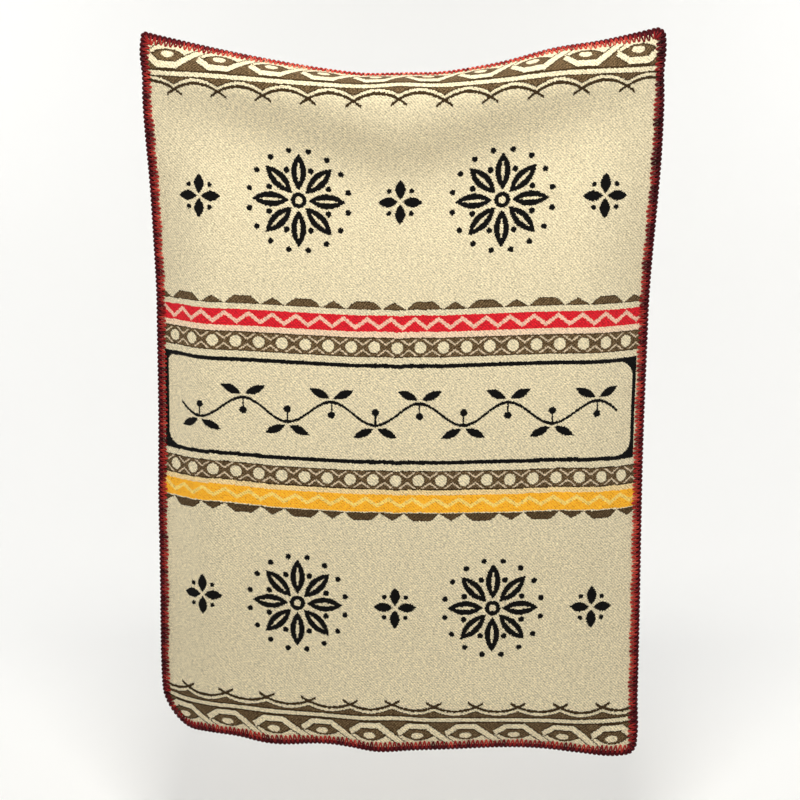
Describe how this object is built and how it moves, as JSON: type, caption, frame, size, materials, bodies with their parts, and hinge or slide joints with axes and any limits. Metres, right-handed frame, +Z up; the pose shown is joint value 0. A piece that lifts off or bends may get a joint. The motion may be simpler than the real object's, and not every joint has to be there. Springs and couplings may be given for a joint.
{
  "type": "hanging wool blanket",
  "caption": "Small oblong wool blanket hanging by its top corners, its middle sagging and its top border rolled back, with a stitched yarn edging all round.",
  "frame": {"origin": "middle of the top edge of the hanging blanket", "axes": "+Z up, the way it hangs; the patterned front faces -Y; +X to the right as seen from the front"},
  "size_m": [0.8017, 0.1104, 1.1571],
  "materials": {
    "cream_wool": "heathered cream wool, woven with patterned bands and lightly felted",
    "red_yarn": "thick red and maroon wool yarn, stitched close together"
  },
  "bodies": {
    "root": {"blanket": "cream_wool", "edging": "red_yarn"}
  },
  "joints": []
}
